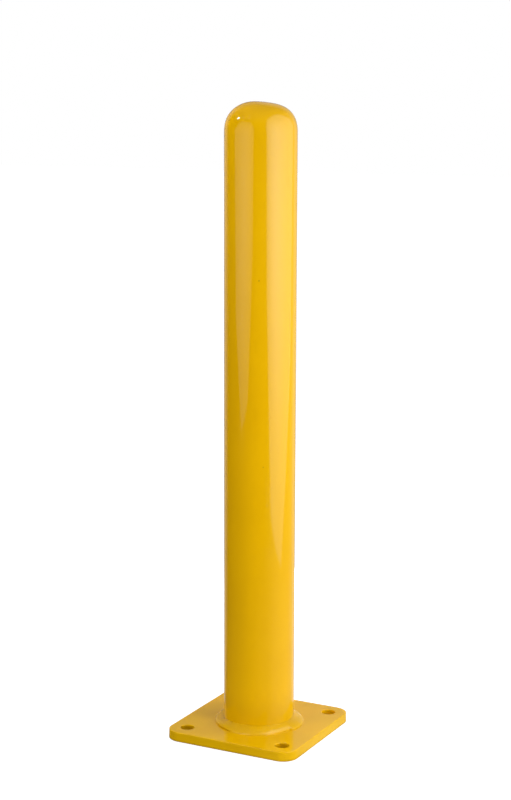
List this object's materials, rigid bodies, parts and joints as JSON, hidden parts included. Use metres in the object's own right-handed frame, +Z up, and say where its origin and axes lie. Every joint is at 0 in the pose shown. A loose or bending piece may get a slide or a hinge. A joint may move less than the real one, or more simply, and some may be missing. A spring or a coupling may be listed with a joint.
{
  "type": "steel safety bollard",
  "caption": "Round steel bollard with a domed top, welded upright on a square base plate with anchor holes, coated gloss safety yellow.",
  "frame": {"origin": "centre of the base plate's underside, on the post's axis", "axes": "+Z up along the post; +X and +Y along the sides of the square base plate"},
  "size_m": [0.2286, 0.2286, 1.0163],
  "materials": {
    "yellow_coat": "gloss"
  },
  "bodies": {
    "root": {"base_plate": "yellow_coat", "post_tube": "yellow_coat", "domed_cap": "yellow_coat", "cap_weld": "yellow_coat", "base_weld": "yellow_coat"}
  },
  "joints": []
}
